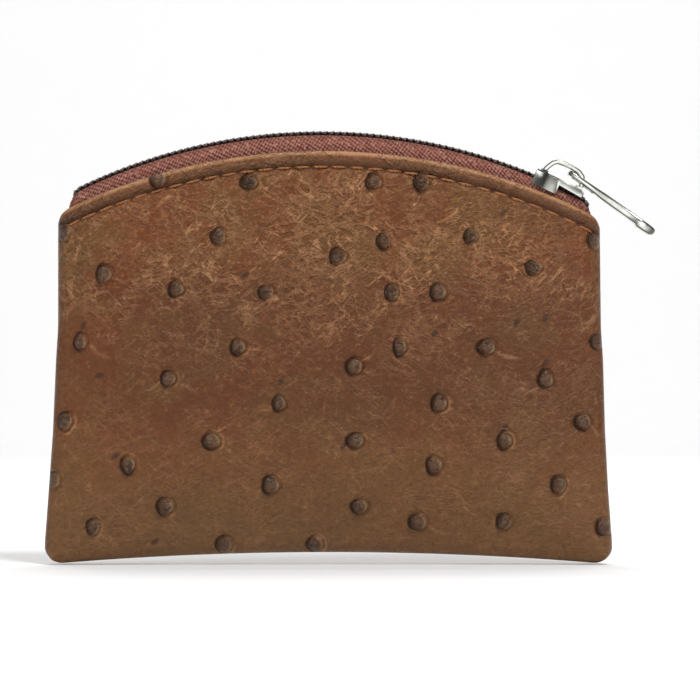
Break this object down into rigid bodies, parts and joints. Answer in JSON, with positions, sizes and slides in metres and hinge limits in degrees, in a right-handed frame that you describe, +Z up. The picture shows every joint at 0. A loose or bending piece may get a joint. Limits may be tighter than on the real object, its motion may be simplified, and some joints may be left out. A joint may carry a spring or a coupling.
{
  "type": "zippered pouch",
  "caption": "Small flat leather pouch with an arched zip mouth, a fabric lining, lips that part, and a metal slider with a swinging bar pull.",
  "frame": {"origin": "middle of the bounding box's underside, below the bottom seam", "axes": "+X along the zip from its open end to its closed end, +Y from the front panel to the back panel, +Z up from the bottom seam to the zip"},
  "size_m": [0.1162, 0.0126, 0.0822],
  "materials": {
    "leather": "quill-bumped brown leather, soft sheen",
    "lining": "plain woven lining",
    "tape": "woven polyester tape",
    "coil": "nylon coil",
    "thread": "twisted sewing thread",
    "nickel": "nickel plated"
  },
  "bodies": {
    "pouch": {"back_coil_end_left": "coil", "back_coil_end_right": "coil", "back_leather": "leather", "back_lining": "lining", "back_tape_end_left": "tape", "back_tape_end_right": "tape", "back_topstitch_end_left": "thread", "back_topstitch_end_right": "thread", "front_coil_end_left": "coil", "front_coil_end_right": "coil", "front_leather": "leather", "front_lining": "lining", "front_tape_end_left": "tape", "front_tape_end_right": "tape", "front_topstitch_end_left": "thread", "front_topstitch_end_right": "thread", "side_seam_thread": "thread"},
    "front_lip": {"front_leather_lip": "leather", "front_lining_lip": "lining", "front_tape": "tape", "front_coil": "coil", "front_topstitch": "thread"},
    "back_lip": {"back_leather_lip": "leather", "back_lining_lip": "lining", "back_tape": "tape", "back_coil": "coil", "back_topstitch": "thread"},
    "slider": {"slider_body": "nickel", "slider_bridge": "nickel"},
    "pull": {"pull_tab": "nickel"}
  },
  "joints": [
    {"name": "slider_travel", "type": "hinge", "parent": "pouch", "child": "slider", "pos_m": [-0.00539, 0, -0.0235], "axis": [0, -1, 0], "range_deg": [0, 49]},
    {"name": "pull_swing", "type": "hinge", "parent": "slider", "child": "pull", "pos_m": [0.0422, 0, 0.07434], "axis": [0, -1, 0], "range_deg": [0, 195]},
    {"name": "front_lip_open", "type": "hinge", "parent": "pouch", "child": "front_lip", "pos_m": [-0.00489, -0.0052, 0.07115], "axis": [1, 0, 0], "range_deg": [0, 35], "stiffness_Nm_per_rad": 0.004},
    {"name": "back_lip_open", "type": "hinge", "parent": "pouch", "child": "back_lip", "pos_m": [-0.00489, 0.0052, 0.07115], "axis": [-1, 0, 0], "range_deg": [0, 35], "stiffness_Nm_per_rad": 0.004}
  ],
  "couplings": [
    {"joint": "back_lip_open", "follows": "front_lip_open", "ratio": 1}
  ]
}
